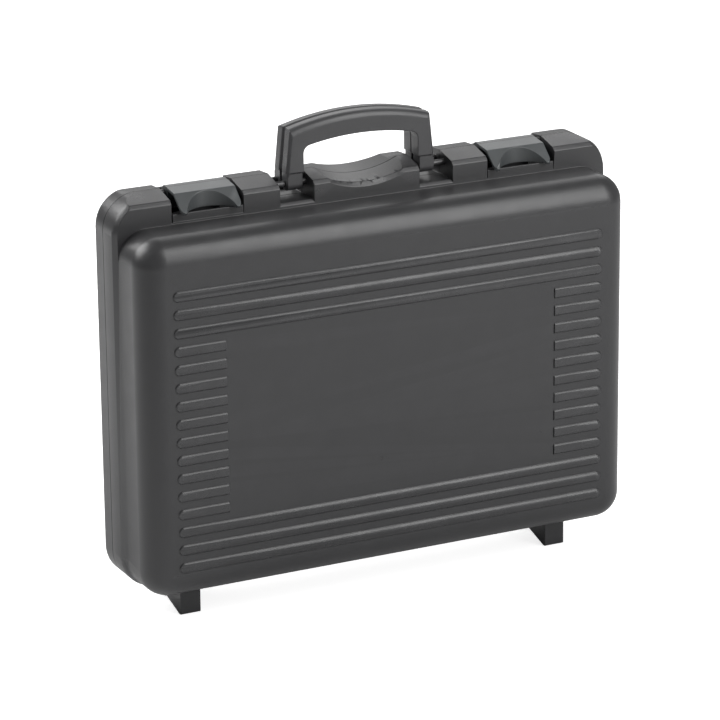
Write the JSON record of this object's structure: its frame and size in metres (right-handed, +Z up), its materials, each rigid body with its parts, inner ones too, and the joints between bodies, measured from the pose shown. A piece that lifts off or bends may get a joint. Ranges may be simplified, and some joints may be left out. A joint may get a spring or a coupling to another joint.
{
  "type": "hard tool case",
  "caption": "Moulded hard case that stands on its hinged feet, with two flap latches, a split folding handle and stiffening ribs on both faces.",
  "frame": {"origin": "middle of the bottom of the closed, standing case, on the floor between its feet", "axes": "+X to the right and +Z up as seen from the front; the front shell faces -Y"},
  "size_m": [0.464, 0.132, 0.4138],
  "materials": {
    "shell_plastic": "fine grained moulded polypropylene",
    "handle_plastic": "satin moulded plastic",
    "latch_plastic": "satin moulded plastic",
    "pin_steel": "drawn wire"
  },
  "bodies": {
    "rear_case": {"rear_shell": "shell_plastic", "left_latch_pin": "pin_steel", "right_latch_pin": "pin_steel", "rear_left_handle_pin": "pin_steel", "rear_right_handle_pin": "pin_steel", "left_hinge_pin": "pin_steel", "right_hinge_pin": "pin_steel"},
    "front_case": {"front_shell": "shell_plastic", "front_left_handle_pin": "pin_steel", "front_right_handle_pin": "pin_steel"},
    "front_handle": {"front_handle": "handle_plastic"},
    "rear_handle": {"rear_handle": "handle_plastic"},
    "left_latch": {"left_latch": "latch_plastic"},
    "right_latch": {"right_latch": "latch_plastic"}
  },
  "joints": [
    {"name": "lid_hinge", "type": "hinge", "parent": "rear_case", "child": "front_case", "pos_m": [0, 0.007, 0.01], "axis": [1, 0, 0], "range_deg": [0, 110]},
    {"name": "left_latch_pivot", "type": "hinge", "parent": "rear_case", "child": "left_latch", "pos_m": [-0.1463, 0.0112, 0.3611], "axis": [-1, 0, 0], "range_deg": [0, 105]},
    {"name": "right_latch_pivot", "type": "hinge", "parent": "rear_case", "child": "right_latch", "pos_m": [0.1463, 0.0112, 0.3611], "axis": [-1, 0, 0], "range_deg": [0, 105]},
    {"name": "front_handle_pivot", "type": "hinge", "parent": "front_case", "child": "front_handle", "pos_m": [0, -0.0006, 0.358], "axis": [1, 0, 0], "range_deg": [0, 95]},
    {"name": "rear_handle_pivot", "type": "hinge", "parent": "rear_case", "child": "rear_handle", "pos_m": [0, 0.0146, 0.358], "axis": [-1, 0, 0], "range_deg": [0, 95]}
  ]
}
